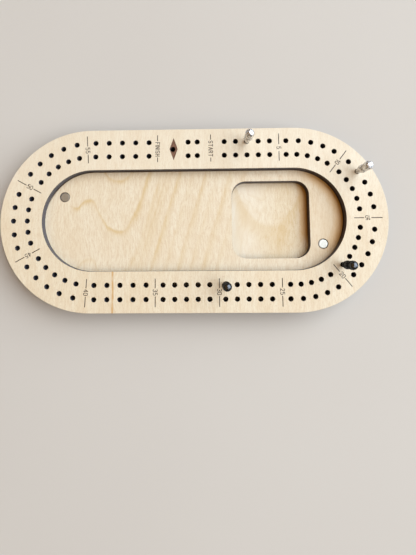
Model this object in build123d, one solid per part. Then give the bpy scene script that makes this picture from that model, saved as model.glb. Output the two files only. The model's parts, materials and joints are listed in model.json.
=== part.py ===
from build123d import *

import os
from math import cos, pi, radians, sin

# Cribbage board: three plywood sheets glued in a stack, two magnets and four pegs.
# Millimetres. X runs along the board, Y across it, Z up. The origin is under the middle
# of the board, on the surface it stands on.

# ---- board ----
BOARD_LENGTH = 254.0
BOARD_WIDTH = 120.65
SHEET = 6.0  # thickness of each plywood sheet
END_CENTRE = (BOARD_LENGTH - BOARD_WIDTH) / 2  # X of the centre of each end arc
TRAY_BOTTOM = SHEET
RING_BOTTOM = 2 * SHEET
BOARD_TOP = 3 * SHEET

# ---- recess through the top sheet, pocket through the middle sheet ----
RECESS_WIDTH = 67.0
RECESS_RIGHT = END_CENTRE + RECESS_WIDTH / 2  # X of its right end, which is round the end arc's centre
RECESS_LEFT = -99.4  # X of its left end, a little nearer to the middle
POCKET_SIZE = 51.5
POCKET_CORNER = 9.4
POCKET_X = 52.2

# ---- peg holes ----
HOLE_RADIUS = 1.7
OUTER_ROW = 51.6  # from the board's middle line, or from the centre of an end arc
INNER_ROW = 42.4
FINISH_HOLE = (-12.5, 46.9)

# ---- magnets, at opposite places about the middle of the board ----
MAGNET_RADIUS = 3.0
MAGNET_LENGTH = 5.7
MAGNET_EDGE = 0.3
MAGNET_HOLE_RADIUS = 3.2
MAGNET_PLACE = (86.3, -16.45)

# ---- engraving in the top sheet ----
ENGRAVING_DEPTH = 0.3
LINE_WIDTH = 0.5
LINE_FROM = 38.3
LINE_TO = 56.5
LABEL_CENTRE = (OUTER_ROW + INNER_ROW) / 2
FIGURE_HEIGHT = 2.7
FIGURE_STROKE = 0.38
FIGURE_GAP = 0.8
LABEL_CLEARANCE = 0.9  # from the figures to the line's two parts
SHORTEST_BREAK = 4.7
DIAMOND_CENTRE = (-12.05, 47.0)
DIAMOND_WIDTH = 5.4
DIAMOND_HEIGHT = 15.0

# ---- pegs: heights above the tip and radii of the turned outline ----
TIP_RADIUS = 1.35
TIP_CHAMFER = 0.4
STEM_TOP_RADIUS = 1.5
COLLAR_RADIUS = 1.95
COLLAR_FROM = 15.6
COLLAR_TO = 16.6
NECK_RADIUS = 1.5
LOWER_BEAD_FROM = 17.0
LOWER_BEAD_WIDEST = 20.4
LOWER_BEAD_RADIUS = 2.75
LOWER_BEAD_TO = 23.6
WAIST_EDGE_RADIUS = 1.75
WAIST_RADIUS = 1.55
UPPER_BEAD_FROM = 24.7
UPPER_BEAD_WIDEST = 29.2
UPPER_BEAD_RADIUS = 2.87
PEG_LENGTH = 32.9


# ---- stations: places on the track that both of its rows share ----
# A station is the X that its radial line starts from, on the board's middle line, and that
# line's heading in degrees. The straight sides head up or down, the ends turn about a centre.


def top(x):
    return (x, 90.0)


def right(heading):
    return (END_CENTRE, heading)


def bottom(x):
    return (x, -90.0)


def left(heading):
    return (-END_CENTRE, heading)


def out_from(station, distance):
    """The point at a distance along a station's radial line."""
    x, heading = station
    return (x + distance * cos(radians(heading)), distance * sin(radians(heading)))


def along_row(station, row):
    """How far along a row a station lies, clockwise from the left end of the top side."""
    x, heading = station
    side = 2 * END_CENTRE
    if heading == 90.0:
        return END_CENTRE + x
    if heading == -90.0:
        return side + pi * row + END_CENTRE - x
    if x > 0:
        return side + radians(90.0 - heading) * row
    return 2 * side + pi * row + radians(-90.0 - heading) * row


def point_on_row(distance, row):
    """The point that lies a distance along a row."""
    side = 2 * END_CENTRE
    end = pi * row
    if distance < side:
        return out_from(top(distance - END_CENTRE), row)
    if distance < side + end:
        return out_from(right(90.0 - 180.0 * (distance - side) / end), row)
    if distance < 2 * side + end:
        return out_from(bottom(END_CENTRE - (distance - side - end)), row)
    return out_from(left(-90.0 - 180.0 * (distance - 2 * side - end) / end), row)


def holes_between(first, last, count, row):
    """The centres of holes evenly spaced along a row, from one station to another."""
    start = along_row(first, row)
    step = (along_row(last, row) - start) / (count - 1)
    return [point_on_row(start + number * step, row) for number in range(count)]


# Both tracks run clockwise in fives, and each five has its first and its last station here.
FIVES = [
    (top(21.6), top(51.5)),
    (top(62.3), right(58.4)),
    (right(45.7), right(7.9)),
    (right(-8.4), right(-45.1)),
    (right(-59.0), bottom(62.8)),
    (bottom(51.1), bottom(21.2)),
    (bottom(11.0), bottom(-19.2)),
    (bottom(-30.2), bottom(-64.2)),
    (left(-102.6), left(-144.2)),
    (left(-159.8), left(-200.2)),
    (left(-217.3), left(-258.8)),
    (top(-64.0), top(-28.4)),
]
START = (top(-2.4), top(3.7))


def track(row):
    """The sixty holes of one track in the order of play."""
    return [hole for first, last in FIVES for hole in holes_between(first, last, 5, row)]


OUTER_TRACK = track(OUTER_ROW)
INNER_TRACK = track(INNER_ROW)
START_HOLES = [hole for row in (OUTER_ROW, INNER_ROW) for hole in holes_between(*START, 2, row)]
PEG_HOLES = OUTER_TRACK + INNER_TRACK + START_HOLES + [FINISH_HOLE]

# The hole that each peg stands in. Hole n of a track is number n - 1 of its list.
PEGS = {
    "peg_silver_back": OUTER_TRACK[2],
    "peg_silver_front": OUTER_TRACK[11],
    "peg_black_back": INNER_TRACK[19],
    "peg_black_front": INNER_TRACK[29],
}

# ---- engraved labels ----
# Each label lies across a radial line: its text, its station, and whether it is read
# towards the middle of the board or away from it.
LABELS = [
    ("START", top(12.6), "in"),
    ("5", top(57.6), "in"),
    ("10", right(51.8), "in"),
    ("15", right(0.0), "in"),
    ("20", right(-51.3), "out"),
    ("25", bottom(57.6), "out"),
    ("30", bottom(17.2), "out"),
    ("35", bottom(-24.3), "out"),
    ("40", left(-93.5), "out"),
    ("45", left(-151.4), "out"),
    ("50", left(151.2), "in"),
    ("55", left(93.3), "in"),
    ("FINISH", top(-22.7), "in"),
]

# Single-stroke figures and letters, each with its width and its strokes. The unit is the
# figure's height, and a stroke is a line (x0, y0, x1, y1) or an arc (x, y, radius, from, sweep).
GLYPHS = {
    "0": (0.52, [(0.26, 0.74, 0.26, 0, 180), (0, 0.74, 0, 0.26), (0.26, 0.26, 0.26, 180, 180),
                 (0.52, 0.26, 0.52, 0.74)]),
    "1": (0.24, [(0.24, 0, 0.24, 1), (0.24, 1, 0, 0.78)]),
    "2": (0.52, [(0.26, 0.74, 0.26, -40, 205), (0.459, 0.573, 0, 0), (0, 0, 0.52, 0)]),
    "3": (0.5, [(0.25, 0.76, 0.24, -90, 235), (0.25, 0.26, 0.26, -145, 235)]),
    "4": (0.54, [(0.4, 0, 0.4, 1), (0.4, 1, 0, 0.3), (0, 0.3, 0.54, 0.3)]),
    "5": (0.52, [(0.48, 1, 0.07, 1), (0.07, 1, 0.04, 0.5), (0.24, 0.31, 0.31, -140, 277)]),
    "S": (0.5, [(0.25, 0.75, 0.25, 20, 250), (0.25, 0.25, 0.25, -160, 250)]),
    "T": (0.54, [(0, 1, 0.54, 1), (0.27, 1, 0.27, 0)]),
    "A": (0.56, [(0, 0, 0.28, 1), (0.28, 1, 0.56, 0), (0.1, 0.34, 0.46, 0.34)]),
    "R": (0.5, [(0, 0, 0, 1), (0, 1, 0.24, 1), (0.24, 0.75, 0.25, -90, 180), (0.24, 0.5, 0, 0.5),
                (0.24, 0.5, 0.5, 0)]),
    "F": (0.46, [(0, 0, 0, 1), (0, 1, 0.46, 1), (0, 0.52, 0.38, 0.52)]),
    "I": (0.0, [(0, 0, 0, 1)]),
    "N": (0.48, [(0, 0, 0, 1), (0, 1, 0.48, 0), (0.48, 0, 0.48, 1)]),
    "H": (0.48, [(0, 0, 0, 1), (0.48, 0, 0.48, 1), (0, 0.52, 0.48, 0.52)]),
}


def stroke_outline(stroke, across):
    """The round-ended outline of one stroke of a glyph that starts a way across its label."""
    if len(stroke) == 4:
        x0, y0, x1, y1 = (value * FIGURE_HEIGHT for value in stroke)
        return SlotArc(Line((across + x0, y0), (across + x1, y1)), FIGURE_STROKE)
    x, y, radius = (value * FIGURE_HEIGHT for value in stroke[:3])
    return SlotArc(CenterArc((across + x, y), radius, *stroke[3:]), FIGURE_STROKE)


def label_length(text):
    """How long a label is, without the width of its strokes."""
    return sum(GLYPHS[glyph][0] for glyph in text) * FIGURE_HEIGHT + (len(text) - 1) * FIGURE_GAP


def label_outline(text):
    """A label's strokes about its own centre, read along X."""
    across = -label_length(text) / 2
    strokes = []
    for glyph in text:
        width, parts = GLYPHS[glyph]
        strokes += [stroke_outline(part, across) for part in parts]
        across += width * FIGURE_HEIGHT + FIGURE_GAP
    return Pos(0, -FIGURE_HEIGHT / 2) * (strokes[0] + strokes[1:])


def line_outline(length):
    return Rectangle(length, LINE_WIDTH)


def engraving_outlines():
    """Every engraved shape, where it lies on the board."""
    shapes = []
    for text, station, reading in LABELS:
        heading = station[1]
        turn = heading if reading == "out" else heading + 180.0
        shapes.append(Pos(*out_from(station, LABEL_CENTRE)) * Rot(0, 0, turn) * label_outline(text))
        half_break = max(label_length(text) / 2 + LABEL_CLEARANCE, SHORTEST_BREAK / 2)
        for start, end in ((LINE_FROM, LABEL_CENTRE - half_break), (LABEL_CENTRE + half_break, LINE_TO)):
            middle = out_from(station, (start + end) / 2)
            shapes.append(Pos(*middle) * Rot(0, 0, heading) * line_outline(end - start))
    half_width, half_height = DIAMOND_WIDTH / 2, DIAMOND_HEIGHT / 2
    corners = [(half_width, 0), (0, half_height), (-half_width, 0), (0, -half_height)]
    shapes.append(Pos(*DIAMOND_CENTRE) * Polygon(*corners))
    return shapes


# ---- the pieces ----


def board_outline():
    return SlotOverall(BOARD_LENGTH, BOARD_WIDTH)


def circles(centres, radius):
    return [Pos(*centre) * Circle(radius) for centre in centres]


def magnet_places():
    x, y = MAGNET_PLACE
    return {"magnet_left": (-x, -y), "magnet_right": (x, y)}


def track_ring():
    """The top sheet: an oblong ring with every peg hole and the engraving."""
    recess_middle = (RECESS_LEFT + RECESS_RIGHT) / 2
    recess = Pos(recess_middle, 0) * SlotOverall(RECESS_RIGHT - RECESS_LEFT, RECESS_WIDTH)
    outline = board_outline() - recess - circles(PEG_HOLES, HOLE_RADIUS)
    ring = extrude(Pos(0, 0, RING_BOTTOM) * outline, SHEET)
    floor = Pos(0, 0, BOARD_TOP - ENGRAVING_DEPTH)
    return ring - [extrude(floor * shape, 2 * ENGRAVING_DEPTH) for shape in engraving_outlines()]


def tray_layer():
    """The middle sheet: the recess floor, with the pocket, the peg holes and the magnet holes."""
    pocket = Pos(POCKET_X, 0) * RectangleRounded(POCKET_SIZE, POCKET_SIZE, POCKET_CORNER)
    magnet_holes = circles(magnet_places().values(), MAGNET_HOLE_RADIUS)
    outline = board_outline() - pocket - circles(PEG_HOLES, HOLE_RADIUS) - magnet_holes
    return extrude(Pos(0, 0, TRAY_BOTTOM) * outline, SHEET)


def base_layer():
    """The bottom sheet, plain, which closes the pocket and the peg holes."""
    return extrude(board_outline(), SHEET)


def magnet(place):
    """A short magnet standing on the base sheet, its top just under the recess floor."""
    body = Cylinder(MAGNET_RADIUS, MAGNET_LENGTH, align=(Align.CENTER, Align.CENTER, Align.MIN))
    body = chamfer(body.edges().filter_by(GeomType.CIRCLE), MAGNET_EDGE)
    return Pos(*place, TRAY_BOTTOM) * body


def peg_outline():
    """Half of a peg's lengthwise section, radius along X and height above the tip along Y."""
    stem = Polyline(
        (0, PEG_LENGTH),
        (0, 0),
        (TIP_RADIUS - TIP_CHAMFER, 0),
        (TIP_RADIUS, TIP_CHAMFER),
        (STEM_TOP_RADIUS, COLLAR_FROM),
    )
    collar_side = (COLLAR_RADIUS, (COLLAR_FROM + COLLAR_TO) / 2)
    collar = ThreePointArc(stem @ 1, collar_side, (NECK_RADIUS, COLLAR_TO))
    neck = Line(collar @ 1, (NECK_RADIUS, LOWER_BEAD_FROM))
    lower_side = (LOWER_BEAD_RADIUS, LOWER_BEAD_WIDEST)
    lower_top = (WAIST_EDGE_RADIUS, LOWER_BEAD_TO)
    lower_bead = Spline(neck @ 1, lower_side, lower_top, tangents=((1, 0.9), (-1, 0.9)))
    waist_middle = (WAIST_RADIUS, (LOWER_BEAD_TO + UPPER_BEAD_FROM) / 2)
    waist = ThreePointArc(lower_top, waist_middle, (WAIST_EDGE_RADIUS, UPPER_BEAD_FROM))
    upper_side = (UPPER_BEAD_RADIUS, UPPER_BEAD_WIDEST)
    upper_bead = Spline(waist @ 1, upper_side, stem @ 0, tangents=((0.6, 1), (-1, 0)))
    return make_face(stem + collar + neck + lower_bead + waist + upper_bead)


def peg(hole):
    """A turned peg standing in its hole, tip on the base sheet."""
    return Pos(*hole, TRAY_BOTTOM) * revolve(Plane.XZ * peg_outline(), Axis.Z)


def pieces():
    """Every piece of the board under the name of its node."""
    made = {"track_ring": track_ring(), "tray_layer": tray_layer(), "base_layer": base_layer()}
    made.update({name: magnet(place) for name, place in magnet_places().items()})
    made.update({name: peg(hole) for name, hole in PEGS.items()})
    return made


os.makedirs("parts", exist_ok=True)
for name, piece in pieces().items():
    export_step(piece, f"parts/{name}.step")
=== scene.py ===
import json
import math

import bmesh
import bpy
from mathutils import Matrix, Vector

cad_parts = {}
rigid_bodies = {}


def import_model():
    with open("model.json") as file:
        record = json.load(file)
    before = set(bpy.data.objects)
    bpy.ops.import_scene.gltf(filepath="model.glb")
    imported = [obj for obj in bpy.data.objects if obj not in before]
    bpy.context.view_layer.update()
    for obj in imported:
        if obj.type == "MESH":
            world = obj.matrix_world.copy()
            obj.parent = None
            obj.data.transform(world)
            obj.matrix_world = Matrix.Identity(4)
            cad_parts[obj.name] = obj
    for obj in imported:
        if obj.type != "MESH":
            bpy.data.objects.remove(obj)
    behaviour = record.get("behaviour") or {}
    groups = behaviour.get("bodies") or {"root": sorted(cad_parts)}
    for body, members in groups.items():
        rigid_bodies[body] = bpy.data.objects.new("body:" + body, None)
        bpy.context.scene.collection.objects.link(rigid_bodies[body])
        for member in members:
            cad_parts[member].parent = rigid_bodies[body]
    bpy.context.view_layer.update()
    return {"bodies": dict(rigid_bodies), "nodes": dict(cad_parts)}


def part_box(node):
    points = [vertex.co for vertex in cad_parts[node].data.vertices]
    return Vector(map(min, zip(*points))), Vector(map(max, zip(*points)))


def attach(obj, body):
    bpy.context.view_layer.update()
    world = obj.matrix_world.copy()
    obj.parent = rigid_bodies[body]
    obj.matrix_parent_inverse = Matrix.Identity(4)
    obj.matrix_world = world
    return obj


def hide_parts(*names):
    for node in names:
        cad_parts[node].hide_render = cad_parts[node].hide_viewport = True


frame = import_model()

# Looks for the cribbage board: birch plywood cut by laser, nickel magnets, chromed and black
# pegs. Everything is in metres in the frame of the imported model, and materials count in mm.

MM = 0.001

# ---- places read from the frame ----
_, RING_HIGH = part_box("track_ring")
BASE_LOW, BASE_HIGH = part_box("base_layer")
SHEET = (BASE_HIGH.z - BASE_LOW.z) / MM  # thickness of one sheet of plywood, in mm
BOARD_TOP = RING_HIGH.z / MM
MAGNETS = ("magnet_left", "magnet_right")


# ---- node trees ----


class Material:
    """A material with one Principled shader, and short calls that add and link its nodes."""

    def __init__(self, name, values):
        self.made = bpy.data.materials.new(name)
        self.made.use_nodes = True
        self.nodes = self.made.node_tree.nodes
        self.shader = self.nodes["Principled BSDF"]
        for socket, value in values.items():
            self.shader.inputs[socket].default_value = value

    def put(self, value, socket):
        """Links a node's output to a socket, or sets the socket to a plain value."""
        if isinstance(value, bpy.types.NodeSocket):
            self.made.node_tree.links.new(value, socket)
        else:
            socket.default_value = value

    def shade(self, base, roughness, bump):
        """Gives the shader its colour, its roughness and the inputs of its bump."""
        self.put(base, self.shader.inputs["Base Color"])
        self.put(roughness, self.shader.inputs["Roughness"])
        self.put(self.add("Bump", inputs=bump), self.shader.inputs["Normal"])

    def add(self, kind, output=0, inputs=(), **settings):
        """Adds a node, sets it up, feeds its inputs in order or by name, and returns an output."""
        node = self.nodes.new("ShaderNode" + kind)
        for name, value in settings.items():
            setattr(node, name, value)
        pairs = inputs.items() if isinstance(inputs, dict) else enumerate(inputs)
        for key, value in pairs:
            self.put(value, node.inputs[key])
        return node.outputs[output]

    def math(self, operation, *values):
        """A Math node on plain values or outputs."""
        return self.add("Math", inputs=values, operation=operation)

    def step(self, value, low, high, to_low=0.0, to_high=1.0):
        """A smooth step of a value from low to high. It falls where low is the larger one."""
        inputs = [value, low, high, to_low, to_high]
        return self.add("MapRange", inputs=inputs, interpolation_type="SMOOTHSTEP")

    # A Mix node's inputs 2 and 3 are its plain values, and 6 and 7 its colours.

    def mix(self, factor, first, second):
        """Colours mixed by a factor."""
        inputs = {0: factor, 6: first, 7: second}
        return self.add("Mix", output=2, inputs=inputs, data_type="RGBA")

    def choose(self, factor, first, second):
        """Plain values mixed by a factor."""
        inputs = {0: factor, 2: first, 3: second}
        return self.add("Mix", inputs=inputs, data_type="FLOAT")

    def stretched(self, point, scale):
        """A point in mm with each of its axes scaled."""
        return self.add("VectorMath", inputs=[point, scale], operation="MULTIPLY")

    def noise(self, point, scale, detail=2.0, roughness=0.5):
        """Noise from 0 to 1, at a scale that gives its features to a mm along X, Y and Z."""
        stretched = self.stretched(point, scale)
        inputs = {"Vector": stretched, "Scale": 1.0, "Detail": detail, "Roughness": roughness}
        return self.add("TexNoise", inputs=inputs)

    def point_in_mm(self):
        """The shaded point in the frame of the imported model, in mm."""
        place = self.add("TexCoord", output="Object")
        return self.stretched(place, (1 / MM, 1 / MM, 1 / MM))

    def axes(self, point):
        """A point's X, Y and Z."""
        separate = self.add("SeparateXYZ", inputs=[point]).node
        return tuple(separate.outputs)


def colour(red, green, blue):
    """A colour from its 0 to 255 display values."""

    def linear(value):
        value /= 255
        return value / 12.92 if value <= 0.04045 else ((value + 0.055) / 1.055) ** 2.4

    return (linear(red), linear(green), linear(blue), 1.0)


# ---- birch plywood ----

SAPWOOD = colour(238, 228, 210)
PALE = colour(230, 215, 186)
CREAM = colour(225, 206, 173)
TAN = colour(208, 178, 134)
OCHRE = colour(204, 168, 102)
SEAM = colour(205, 161, 104)
FLECK = colour(178, 130, 80)
CHAR_DARK = colour(40, 37, 38)
CHAR_LIGHT = colour(93, 92, 104)
BURNT = colour(136, 96, 72)
BURNT_DARK = colour(90, 54, 34)
STROKE = colour(64, 46, 36)
# Dark brown of the painted shade line at the foot of walls, and of the rings round the magnets.
DARK_BROWN = colour(88, 66, 46)
# Warm brown of the painted shade that spreads from the foot of walls.
SHADE_GOLD = colour(204, 149, 58)

# Birch grain along Y: the features to a mm along X, Y and Z of each of its textures.
FIBRES = (1.6, 0.2, 0.4)
FLECKS = (1.8, 0.9, 0.9)
BANDS = (0.13, 0.018, 0.05)
MOTTLING = (0.07, 0.05, 0.05)
BENDS = (0.02, 0.03, 0.02)
BEND = 9.0  # mm that the grain wanders to the side
GRAIN_RELIEF = 0.03 * MM  # its height, and that of the streaks on cut edges

# Cut edges.
PLIES = 5  # veneers in each sheet
GLUE_LINE = (0.16, 0.05)  # mm from a sheet's face at which its dark glue line starts and is full
STREAKS = (1.7, 1.7, 0.16)
EDGE_SOOT = (0.12, 0.12, 0.3)
SCORCH_WIDTH = 0.22 * MM  # how far from a cut the face is scorched and looks rounded

# Engraving in the top sheet, in mm. Its one open shape is the diamond round the finish hole.
ENGRAVED_FLOOR = (0.6, 0.1)  # the depths that hold every engraved floor
BURN_MARKS = (3.0, 0.6, 1.0)
DIAMOND_X = -12.05
DIAMOND_REACH = 3.2  # it reaches less far than this to each side
DIAMOND_START = 35.0  # the Y that it lies beyond

# The openings in mm, as the X of the middle, half the length, half the width and the corner radius.
RECESS = (0.4, 99.8, 33.5, 33.5)
POCKET = (52.2, 25.75, 25.75, 9.4)
# Where painted shade lies at the foot of an opening's walls, as shares of its half width or half length
# from its middle.
NEAR_SIDE = (-0.8, -0.3)  # where its near side ends, which gets no painted shade
FAR_SIDE = (0.2, 0.7)  # where its far side starts
RIGHT_END = (0.66, 0.84)  # where its right end starts
WARM_SHADE = (9.0, 0.5, 0.88)  # mm from an opening's wall where its painted warm shade starts and is full, and how strong
FAR_SHADE_SHARE = 0.12  # the share of that painted shade that shows on the opening's far side
SHADE_LINE = (0.75, 0.45)  # mm from the wall where its painted dark line of shade starts and is full
MAGNET_RING = (0.7, 0.3, 0.7)  # mm from a magnet where its thin dark ring starts and is full, and how strong

# The tray's growth line, as X and Y in mm along the recess floor. It then rises in a straight line.
GROWTH_LINE = [
    (-82, 10.2),
    (-78, 9),
    (-74, 13),
    (-69, 14.8),
    (-63.4, 7.6),
    (-59, -0.4),
    (-54, -6),
    (-47.4, -6.4),
    (-41, 0.6),
    (-35, 13),
]
GROWTH_RISE = 3.3  # mm of Y to a mm of X
GROWTH_TURN = (-48.0, -34.0)  # the stretch of X over which the line turns to that rise
# Lines of the same shape above and below it: how far off in Y, how strong, how wide in mm, and
# the X that each one fades in from.
GROWTH_RINGS = [
    (0, 1.0, 2.3, -84),
    (33.5, 0.9, 2.2, -84),
    (-40, 0.5, 1.8, -84),
    (-28, 0.5, 2.6, -56),
    (-49, 0.35, 2.0, -46),
    (-68, 0.75, 2.5, -46),
    (-98, 0.3, 2.0, -46),
    (-127, 0.65, 2.5, -46),
    (-154, 0.3, 2.2, -46),
    (-181, 0.6, 2.8, -46),
    (-212, 0.35, 2.4, -46),
]
GROWTH_STRENGTH = 0.62  # how far the strongest line goes to ochre
GROWTH_WAVER = 4.0  # mm
GROWTH_WAVES = (0.12, 0.05, 0.1)  # features to a mm of that waver
GROWTH_BREAKS = (0.1, 0.05, 0.1)  # and of what makes the lines stronger and weaker
FADE = 7  # mm that a line takes to fade in
TRAY_PALENESS = 0.26  # how far the whole tray goes to sapwood
TAN_END = (60.0, 92.0)  # the stretch of X over which the tray turns tan
TAN_STRENGTH = 0.4

# The bottom sheet's clouds, whose noise also draws their rings of growth.
CLOUDS = (0.05, 0.03, 0.05)  # features to a mm
CLOUD_STRENGTH = 0.22
CLOUD_RINGS = 9.0  # rings from the lowest to the highest value of the noise
CLOUD_RING_STRENGTH = 0.12
PALE_START = (62.0, 28.0)  # the stretch of X in mm over which the sheet turns pale
BASE_PALENESS = 0.6

# The golden cloud on the pocket's floor, in mm. Its upper edge dips in the middle of the pocket.
GOLDEN_STRENGTH = 0.3
GOLDEN_DIP = 0.0533  # its rise by the square of the distance from the middle
GOLDEN_WANDER = 8.0
GOLDEN_EDGE = (2.0, -2.0)  # distances over the upper edge at which the gold starts and is full
GOLDEN_FOOT = (-20.0, -4.0)  # those below which it has faded away and above which it is whole

# The top sheet, in mm: painted light and sheen turn it paler to the far side, and a dark line crosses its
# near side.
PAINTED_LIGHT_FAR_SIDE = (-30.0, 50.0, 0.14, 0.34)  # the stretch of Y over which it turns paler, from and to how pale
SEAM_X = -52.9
SEAM_WAVER = 1.6
SEAM_WAVES = (0.02, 0.09, 0.1)  # features to a mm of that waver
SEAM_BREAKS = (0.4, 0.2, 0.1)  # and of what makes the line stronger and weaker
SEAM_SIDES = (0.95, 0.2)  # distances from its middle where it starts and is full
SEAM_START = (-10.0, -30.0)  # the stretch of Y over which it appears


def birch_face(wood, point, seed, grain):
    """A veneer's face with its fibres, flecks, bands and mottling, and the fibres' own texture."""
    shifted = wood.add("VectorMath", inputs=[point, (seed, seed, seed)], operation="ADD")
    aside = wood.math("MULTIPLY", wood.noise(shifted, BENDS), BEND)
    aside = wood.add("CombineXYZ", inputs=[aside])
    bent = wood.add("VectorMath", inputs=[shifted, aside], operation="ADD")
    fibres = wood.noise(bent, FIBRES, detail=4.0, roughness=0.74)
    flecks = wood.step(wood.noise(bent, FLECKS, detail=1.0), 0.58, 0.74)
    bands = wood.noise(bent, BANDS, detail=3.0, roughness=0.55)
    mottling = wood.noise(shifted, MOTTLING, detail=3.0)
    tone = wood.mix(wood.step(bands, 0.36, 0.66), PALE, CREAM)
    tone = wood.mix(wood.step(fibres, 0.36, 0.7, 0.0, grain), tone, TAN)
    tone = wood.mix(wood.step(mottling, 0.48, 0.78, 0.0, 0.2), tone, TAN)
    tone = wood.mix(wood.math("MULTIPLY", flecks, 0.3), tone, FLECK)
    return tone, fibres


def charred_edge(wood, point, z):
    """A laser-cut edge: veneers that char more or less, streaked by the beam, and those streaks."""
    veneer = wood.math("MODULO", wood.math("MULTIPLY", z, PLIES / SHEET), 2.0)
    centre = wood.math("ABSOLUTE", wood.math("SUBTRACT", veneer, 0.5))
    end_grain = wood.step(centre, 0.42, 0.58)
    streaks = wood.noise(point, STREAKS, detail=3.0, roughness=0.6)
    soot_and_shade = wood.noise(point, EDGE_SOOT)
    lighter = wood.math("MULTIPLY", wood.step(streaks, 0.35, 0.7), wood.step(soot_and_shade, 0.3, 0.7, 0.5, 1.0))
    tone = wood.mix(wood.math("MULTIPLY", end_grain, 0.75), CHAR_DARK, CHAR_LIGHT)
    tone = wood.mix(wood.math("MULTIPLY", lighter, 0.55), tone, CHAR_LIGHT)
    in_sheet = wood.math("SUBTRACT", wood.math("MODULO", z, SHEET), SHEET / 2)
    from_middle = wood.math("ABSOLUTE", in_sheet)
    glue = wood.step(from_middle, SHEET / 2 - GLUE_LINE[0], SHEET / 2 - GLUE_LINE[1])
    return wood.mix(glue, tone, CHAR_DARK), streaks


def near_cut(wood):
    """0 on open faces, rising to 1 at the very edge of a cut, and the normal rounded there."""
    rounded = wood.add("Bevel", inputs=[SCORCH_WIDTH], samples=6)
    flat = wood.add("NewGeometry", output="True Normal")
    alike = wood.add("VectorMath", output="Value", inputs=[rounded, flat], operation="DOT_PRODUCT")
    return wood.step(alike, 0.995, 0.8), rounded


def engraved(wood, face, point, x, y, z):
    """The face with the floors of its engraving burnt: brown in the diamond, dark in thin strokes."""
    marks = wood.noise(point, BURN_MARKS, detail=3.0)
    burnt = wood.mix(wood.step(marks, 0.3, 0.7), BURNT_DARK, BURNT)
    aside = wood.math("ABSOLUTE", wood.math("SUBTRACT", x, DIAMOND_X))
    beside = wood.math("GREATER_THAN", aside, DIAMOND_REACH)
    before = wood.math("LESS_THAN", y, DIAMOND_START)
    burnt = wood.mix(wood.math("MAXIMUM", beside, before), burnt, STROKE)
    deepest, shallowest = ENGRAVED_FLOOR
    below = wood.math("LESS_THAN", z, BOARD_TOP - shallowest)
    above = wood.math("GREATER_THAN", z, BOARD_TOP - deepest)
    return wood.mix(wood.math("MULTIPLY", below, above), face, burnt)


def painted_wall_shade(wood, face, x, y, opening, shade_line_strength):
    """Painted shade at the foot of an opening's wall, on its far side and at its right end: a wide warm
    gradient and a thin dark line.
    """
    middle, half_length, half_width, corner = opening
    across = wood.math("SUBTRACT", x, middle)
    past_x = wood.math("SUBTRACT", wood.math("ABSOLUTE", across), half_length - corner)
    past_y = wood.math("SUBTRACT", wood.math("ABSOLUTE", y), half_width - corner)
    past = [wood.math("POWER", wood.math("MAXIMUM", value, 0.0), 2.0) for value in (past_x, past_y)]
    reach = wood.math("SQRT", wood.math("ADD", *past))
    aside = wood.math("DIVIDE", y, half_width)
    far = wood.step(aside, *FAR_SIDE)
    right = wood.step(wood.math("DIVIDE", across, half_length), *RIGHT_END)
    right = wood.math("MULTIPLY", wood.step(aside, *NEAR_SIDE), right)
    sides = wood.math("MAXIMUM", wood.math("MULTIPLY", far, FAR_SHADE_SHARE), right)
    start, full, strength = WARM_SHADE
    # Painted shade: a warm gradient that spreads from the wall's foot.
    shade_gradient = wood.step(reach, corner - start, corner - full, 0.0, strength)
    face = wood.mix(wood.math("MULTIPLY", sides, shade_gradient), face, SHADE_GOLD)
    # Painted shade: a thin dark line along the wall's foot.
    soot_and_shade = wood.step(reach, corner - SHADE_LINE[0], corner - SHADE_LINE[1])
    soot_and_shade = wood.math("MULTIPLY", wood.math("MAXIMUM", far, right), soot_and_shade)
    return wood.mix(wood.math("MULTIPLY", soot_and_shade, shade_line_strength), face, DARK_BROWN)


def plywood(name, seed, grain, scorch, figure, is_engraved=False):
    """Birch plywood: faces that look up or down are veneer, and the others are charred edge.

    The seed moves the grain, and grain is its strength. Scorch is how far the faces are burnt at
    a cut. Figure is the function that paints the sheet's own figure, with its painted light and shade.
    """
    wood = Material(name, {"Specular IOR Level": 0.5})
    point = wood.point_in_mm()
    x, y, z = wood.axes(point)
    face, fibres = birch_face(wood, point, seed, grain)
    face = figure(wood, face, point, x, y)
    edge, streaks = charred_edge(wood, point, z)
    at_cut, rounded = near_cut(wood)
    face = wood.mix(wood.math("MULTIPLY", at_cut, scorch), face, BURNT)
    if is_engraved:
        face = engraved(wood, face, point, x, y, z)
    normal = wood.add("NewGeometry", output="True Normal")
    up = wood.math("ABSOLUTE", wood.axes(normal)[2])
    is_edge = wood.step(up, 0.75, 0.45)
    rough_face = wood.step(fibres, 0.3, 0.8, 0.44, 0.58)
    rough_edge = wood.step(streaks, 0.3, 0.8, 0.38, 0.6)
    height = wood.choose(is_edge, fibres, streaks)
    bump = {"Height": height, "Distance": GRAIN_RELIEF, "Strength": 0.35, "Normal": rounded}
    wood.shade(wood.mix(is_edge, face, edge), wood.choose(is_edge, rough_face, rough_edge), bump)
    return wood.made


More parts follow.
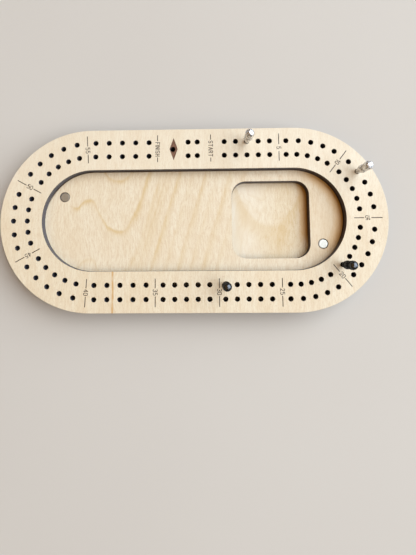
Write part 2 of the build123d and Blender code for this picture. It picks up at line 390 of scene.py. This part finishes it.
def growth_height(wood, x):
    """The Y of the tray's growth line at each X: its bend, and then its straight rise."""
    low_x, high_x = GROWTH_LINE[0][0], GROWTH_LINE[-1][0]
    heights = [height for _, height in GROWTH_LINE]
    low_y, high_y = min(heights), max(heights)
    along = wood.add("MapRange", inputs=[x, low_x, high_x, 0.0, 1.0])
    bend = wood.add("FloatCurve", inputs={"Value": along})
    curve = bend.node.mapping.curves[0]
    places = [
        ((line_x - low_x) / (high_x - low_x), (line_y - low_y) / (high_y - low_y))
        for line_x, line_y in GROWTH_LINE
    ]
    for end, place in zip(curve.points, (places[0], places[-1])):
        end.location = place
    for place in places[1:-1]:
        curve.points.new(*place)
    bend.node.mapping.update()
    height = wood.add("MapRange", inputs=[bend, 0.0, 1.0, low_y, high_y])
    beyond = wood.math("MAXIMUM", wood.math("SUBTRACT", x, high_x), 0.0)
    return wood.math("MULTIPLY_ADD", beyond, GROWTH_RISE, height)


def growth_ring(wood, past, width):
    """A ring of growth by the distance past it: sharp on its far side and soft on its near one."""
    sharp = wood.step(past, 0.7 * width, -0.2 * width)
    soft = wood.step(past, -2.2 * width, 0.1 * width)
    return wood.math("MULTIPLY", sharp, wood.math("POWER", soft, 1.8))


def dark_magnet_rings(wood, face, point):
    """A thin dark ring round each magnet."""
    start, full, strength = MAGNET_RING
    level = wood.stretched(point, (1.0, 1.0, 0.0))
    for node in MAGNETS:
        low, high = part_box(node)
        centre = (low + high) * (0.5 / MM) * Vector((1, 1, 0))
        radius = (high.x - low.x) / 2 / MM
        away = wood.add("VectorMath", output="Value", inputs=[level, centre], operation="DISTANCE")
        face = wood.mix(wood.step(away, radius + start, radius + full, 0.0, strength), face, DARK_BROWN)
    return face


def flame_figure(wood, face, point, x, y):
    """The tray: pale, with broken ochre rings that follow one bend and rise, and a tan right end."""
    face = wood.mix(TRAY_PALENESS, face, SAPWOOD)
    waver = wood.noise(point, GROWTH_WAVES)
    waver = wood.math("MULTIPLY_ADD", waver, GROWTH_WAVER, -GROWTH_WAVER / 2)
    growth = wood.math("ADD", wood.math("SUBTRACT", y, growth_height(wood, x)), waver)
    steepness = wood.step(x, *GROWTH_TURN, 1.0, GROWTH_RISE)
    broken = wood.step(wood.noise(point, GROWTH_BREAKS), 0.3, 0.6, 0.5, 1.0)
    for offset, strength, width, start in GROWTH_RINGS:
        past = wood.math("DIVIDE", wood.math("SUBTRACT", growth, offset), steepness)
        appears = wood.step(x, start, start + FADE, 0.0, GROWTH_STRENGTH * strength)
        shown = wood.math("MULTIPLY", broken, appears)
        face = wood.mix(wood.math("MULTIPLY", growth_ring(wood, past, width), shown), face, OCHRE)
    face = wood.mix(wood.step(x, *TAN_END, 0.0, TAN_STRENGTH), face, TAN)
    face = dark_magnet_rings(wood, face, point)
    # Painted shade at the foot of the recess's far and right walls.
    return painted_wall_shade(wood, face, x, y, RECESS, 1.0)


def clouded_figure(wood, face, point, x, y):
    """The bottom sheet: ochre clouds with faint rings of growth, and a golden one in the pocket."""
    face = wood.mix(wood.step(x, *PALE_START, 0.0, BASE_PALENESS), face, SAPWOOD)
    cloud = wood.noise(point, CLOUDS)
    face = wood.mix(wood.step(cloud, 0.5, 0.75, 0.0, CLOUD_STRENGTH), face, OCHRE)
    rings = wood.math("FRACT", wood.math("MULTIPLY", cloud, CLOUD_RINGS))
    face = wood.mix(wood.step(rings, 0.55, 0.95, 0.0, CLOUD_RING_STRENGTH), face, OCHRE)
    aside = wood.math("SUBTRACT", x, POCKET[0])
    over = wood.math("MULTIPLY_ADD", wood.math("MULTIPLY", aside, aside), -GOLDEN_DIP, y)
    over = wood.math("MULTIPLY_ADD", cloud, GOLDEN_WANDER, over)
    under_edge = wood.step(over, *GOLDEN_EDGE)
    above_foot = wood.step(over, *GOLDEN_FOOT, 0.0, GOLDEN_STRENGTH)
    face = wood.mix(wood.math("MULTIPLY", under_edge, above_foot), face, OCHRE)
    # Painted shade at the foot of the pocket's far and right walls.
    return painted_wall_shade(wood, face, x, y, POCKET, 0.7)


def seamed_figure(wood, face, point, x, y):
    """The top sheet: paler to its far side as painted light and sheen, with one dark line across its near
    side.
    """
    # Painted light: paler and whiter towards the far side.
    face = wood.mix(wood.step(y, *PAINTED_LIGHT_FAR_SIDE), face, SAPWOOD)
    waver = wood.noise(point, SEAM_WAVES)
    place = wood.math("MULTIPLY_ADD", waver, SEAM_WAVER, SEAM_X)
    away = wood.math("ABSOLUTE", wood.math("SUBTRACT", x, place))
    line = wood.math("MULTIPLY", wood.step(away, *SEAM_SIDES), wood.step(y, *SEAM_START))
    uneven = wood.step(wood.noise(point, SEAM_BREAKS), 0.3, 0.6, 0.45, 0.95)
    return wood.mix(wood.math("MULTIPLY", line, uneven), face, SEAM)


def wooden_sheets():
    """Gives the three sheets their plywood."""
    sheets = {
        "track_ring": plywood("birch_top", 11.0, 0.64, 0.08, seamed_figure, is_engraved=True),
        "tray_layer": plywood("birch_tray", 47.0, 1.0, 0.6, flame_figure),
        "base_layer": plywood("birch_base", 83.0, 0.7, 0.08, clouded_figure),
    }
    for node, material in sheets.items():
        sheet = frame["nodes"][node]
        sheet.data.materials.clear()
        sheet.data.materials.append(material)


# ---- turned metal ----

CHROME = colour(242, 242, 244)
# Painted reflection: a dark warm brown that patches the chrome's colour, standing in for what it mirrors.
CHROME_DARK_REFLECTION = colour(96, 84, 70)
BLACKENED = (colour(78, 80, 84), colour(92, 94, 98))
NICKEL = (colour(190, 187, 177), colour(174, 172, 164))

ON_AXIS = 1e-6  # m, a smaller radius is one point on the axis
PEG_SEGMENTS = 64
PEG_RING_STEP = 0.12  # mm between the rings of a peg's mesh
MAGNET_SEGMENTS = 72
MAGNET_EDGE = 0.3 * MM  # radius of a magnet's rounded edge
MAGNET_EDGE_STEPS = 6
MAGNET_DIP = 0.03 * MM  # how far its face dips in the middle


def turned(name, node, profile, segments, material, body):
    """A turned piece round a CAD node's axis, from radii and heights above its lowest point."""
    low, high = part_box(node)
    centre = (low + high) / 2
    turns = [2 * math.pi * number / segments for number in range(segments)]
    mesh = bmesh.new()
    rings = []
    for radius, height in profile:
        around = turns if radius >= ON_AXIS else [0.0]
        rings.append([
            mesh.verts.new((
                centre.x + radius * math.cos(turn),
                centre.y + radius * math.sin(turn),
                low.z + height,
            ))
            for turn in around
        ])
    for lower, upper in zip(rings, rings[1:]):
        for number in range(segments):
            after = (number + 1) % segments
            corners = [lower[number % len(lower)], lower[after % len(lower)]]
            corners += [upper[after % len(upper)], upper[number % len(upper)]]
            mesh.faces.new(list(dict.fromkeys(corners)))
    bmesh.ops.recalc_face_normals(mesh, faces=mesh.faces)
    for face in mesh.faces:
        face.smooth = True
    data = bpy.data.meshes.new(name)
    mesh.to_mesh(data)
    mesh.free()
    data.materials.append(material)
    piece = bpy.data.objects.new(name, data)
    bpy.context.scene.collection.objects.link(piece)
    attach(piece, body)
    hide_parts(node)


def outline_of(node):
    """A turned CAD node's outline, as heights in mm from its lowest point up and radii in m."""
    low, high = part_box(node)
    centre = (low + high) / 2
    widest = {}
    for vertex in frame["nodes"][node].data.vertices:
        height = round((vertex.co.z - low.z) / MM, 3)
        radius = math.hypot(vertex.co.x - centre.x, vertex.co.y - centre.y)
        widest[height] = max(radius, widest.get(height, 0.0))
    return sorted(widest.items())


def peg_profile(node):
    """The peg's outline as closely spaced rings, from the middle of its tip to its crown."""
    outline = outline_of(node)
    rings = [(0.0, 0.0)]
    for (low, inner), (high, outer) in zip(outline, outline[1:]):
        count = max(1, round((high - low) / PEG_RING_STEP))
        for number in range(count):
            share = number / count
            rings.append((inner + share * (outer - inner), (low + share * (high - low)) * MM))
    rings.append((0.0, outline[-1][0] * MM))
    return rings


def magnet_profile(radius, length):
    """A magnet's outline, with rounded edges and a face on top that dips very slightly."""
    flat = radius - MAGNET_EDGE
    turns = [math.pi / 2 * number / MAGNET_EDGE_STEPS for number in range(MAGNET_EDGE_STEPS + 1)]
    lower = [(flat + MAGNET_EDGE * math.sin(turn), MAGNET_EDGE * (1 - math.cos(turn))) for turn in turns]
    upper = [(across, length - height) for across, height in reversed(lower)]
    face = [(radius * share, length - MAGNET_DIP * (1 - share ** 2)) for share in (0.7, 0.35, 0.0)]
    return [(0.0, 0.0)] + lower + upper + face


def bright_chrome():
    """Chromed metal, with uneven facets, and brown patches painted into its colour as dark reflections,
    which break up what it mirrors.
    """
    metal = Material("bright_chrome", {"Metallic": 1.0})
    point = metal.point_in_mm()
    facets = metal.noise(point, (1.3, 1.3, 1.7))
    reflection_patches = metal.noise(point, (0.7, 0.7, 0.6), detail=3.0)
    # Painted reflection: brown patches stand in for the dark, warm surroundings that the chrome mirrors.
    tone = metal.mix(metal.step(reflection_patches, 0.5, 0.66, 0.0, 0.7), CHROME, CHROME_DARK_REFLECTION)
    bump = {"Height": facets, "Distance": 0.5 * MM, "Strength": 0.9}
    metal.shade(tone, metal.step(reflection_patches, 0.3, 0.7, 0.2, 0.38), bump)
    return metal.made


def black_metal():
    """Blackened metal, glossy and uneven, which stays dark even at grazing angles."""
    metal = Material("black_metal", {"Metallic": 1.0, "Specular Tint": (0.14, 0.14, 0.15, 1.0)})
    point = metal.point_in_mm()
    cloud = metal.noise(point, (0.6, 0.6, 0.4), detail=3.0)
    facets = metal.noise(point, (1.2, 1.2, 1.6))
    bump = {"Height": facets, "Distance": 0.3 * MM, "Strength": 0.7}
    metal.shade(metal.mix(cloud, *BLACKENED), metal.step(cloud, 0.3, 0.8, 0.1, 0.2), bump)
    return metal.made


def nickel():
    """Plated magnet faces, finely brushed and a little dull."""
    metal = Material("nickel_plate", {"Metallic": 1.0})
    point = metal.point_in_mm()
    brushed = metal.noise(point, (9.0, 0.8, 3.0))
    dull = metal.noise(point, (0.7, 0.7, 0.7), detail=3.0)
    tone = metal.mix(metal.step(dull, 0.35, 0.7, 0.0, 0.4), *NICKEL)
    bump = {"Height": brushed, "Distance": 0.004 * MM, "Strength": 0.1}
    metal.shade(tone, metal.step(brushed, 0.3, 0.8, 0.42, 0.54), bump)
    return metal.made


def pegs():
    """The four pegs, each riding its own body."""
    silver, black = bright_chrome(), black_metal()
    for body in sorted(frame["bodies"]):
        if body.startswith("peg_"):
            is_silver = body.startswith("peg_silver")
            material, slot = (silver, "bright_chrome") if is_silver else (black, "black_enamel")
            turned(body + "_turned", body, peg_profile(body), PEG_SEGMENTS, material, body)


def magnets():
    """The two plated magnets, which ride with the board."""
    plate = nickel()
    for node in MAGNETS:
        low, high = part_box(node)
        profile = magnet_profile((high.x - low.x) / 2, high.z - low.z)
        turned(node + "_plated", node, profile, MAGNET_SEGMENTS, plate, "board")


# ---- surroundings ----

FLOOR_HALF = 5.0
FLOOR_GAP = 0.05 * MM  # below the board, so that the two never share a plane
PAPER = (colour(198, 190, 180), colour(205, 198, 188))
DAYLIGHT = (0.75, 0.87, 1.0)
LAMPLIGHT = (1.0, 0.56, 0.19)
ROOM = (1.0, 0.82, 0.62, 1.0)

EYE = (0.0069, -0.0222, 0.2863)
EYE_TURNS = (4.965, 1.513, -0.443)  # degrees round X, Y and Z from straight down


def floor():
    """A plain pale sheet of paper under the board."""
    mesh = bpy.data.meshes.new("floor")
    signs = [(-1, -1), (1, -1), (1, 1), (-1, 1)]
    corners = [(x * FLOOR_HALF, y * FLOOR_HALF, 0) for x, y in signs]
    mesh.from_pydata(corners, [], [(0, 1, 2, 3)])
    paper = Material("floor_paper", {"Roughness": 0.85, "Specular IOR Level": 0.2})
    cloud = paper.noise(paper.point_in_mm(), (0.004, 0.004, 0.004))
    paper.put(paper.mix(cloud, *PAPER), paper.shader.inputs["Base Color"])
    mesh.materials.append(paper.made)
    ground = bpy.data.objects.new("floor", mesh)
    ground.location.z = -FLOOR_GAP
    bpy.context.scene.collection.objects.link(ground)


def panel(name, azimuth, elevation, distance, size, power, tint):
    """A soft light of a width and height that faces the board. Azimuth turns from +X towards +Y."""
    turn, lift = math.radians(azimuth), math.radians(elevation)
    towards = Vector((math.cos(turn) * math.cos(lift), math.sin(turn) * math.cos(lift), math.sin(lift)))
    lamp = bpy.data.lights.new(name, "AREA")
    lamp.shape = "RECTANGLE"
    lamp.size, lamp.size_y = size
    lamp.energy = power
    lamp.color = tint
    light = bpy.data.objects.new(name, lamp)
    light.location = towards * distance
    light.rotation_euler = (-light.location).to_track_quat("-Z", "Y").to_euler()
    bpy.context.scene.collection.objects.link(light)


def lights():
    """A large cool window at the right, a warm ceiling and a dim warm room."""
    panel("window", azimuth=16, elevation=45, distance=2.8, size=(4.2, 3.4), power=198.0, tint=DAYLIGHT)
    panel("ceiling", azimuth=200, elevation=85, distance=2.0, size=(4.4, 4.4), power=21.5, tint=LAMPLIGHT)
    world = bpy.data.worlds.new("studio")
    world.use_nodes = True
    background = world.node_tree.nodes["Background"]
    background.inputs["Color"].default_value = ROOM
    background.inputs["Strength"].default_value = 0.1
    bpy.context.scene.world = world
    bpy.context.scene.view_settings.view_transform = "Standard"


def camera():
    """A camera close above the board, a little in front of it, that looks almost straight down."""
    lens = bpy.data.cameras.new("camera")
    lens.lens = 26.7
    lens.shift_x = 0.0285
    lens.shift_y = -0.1079
    lens.clip_start = 0.01
    eye = bpy.data.objects.new("camera", lens)
    eye.location = EYE
    eye.rotation_euler = [math.radians(turn) for turn in EYE_TURNS]
    bpy.context.scene.collection.objects.link(eye)
    bpy.context.scene.camera = eye


camera()
wooden_sheets()
pegs()
magnets()
floor()
lights()
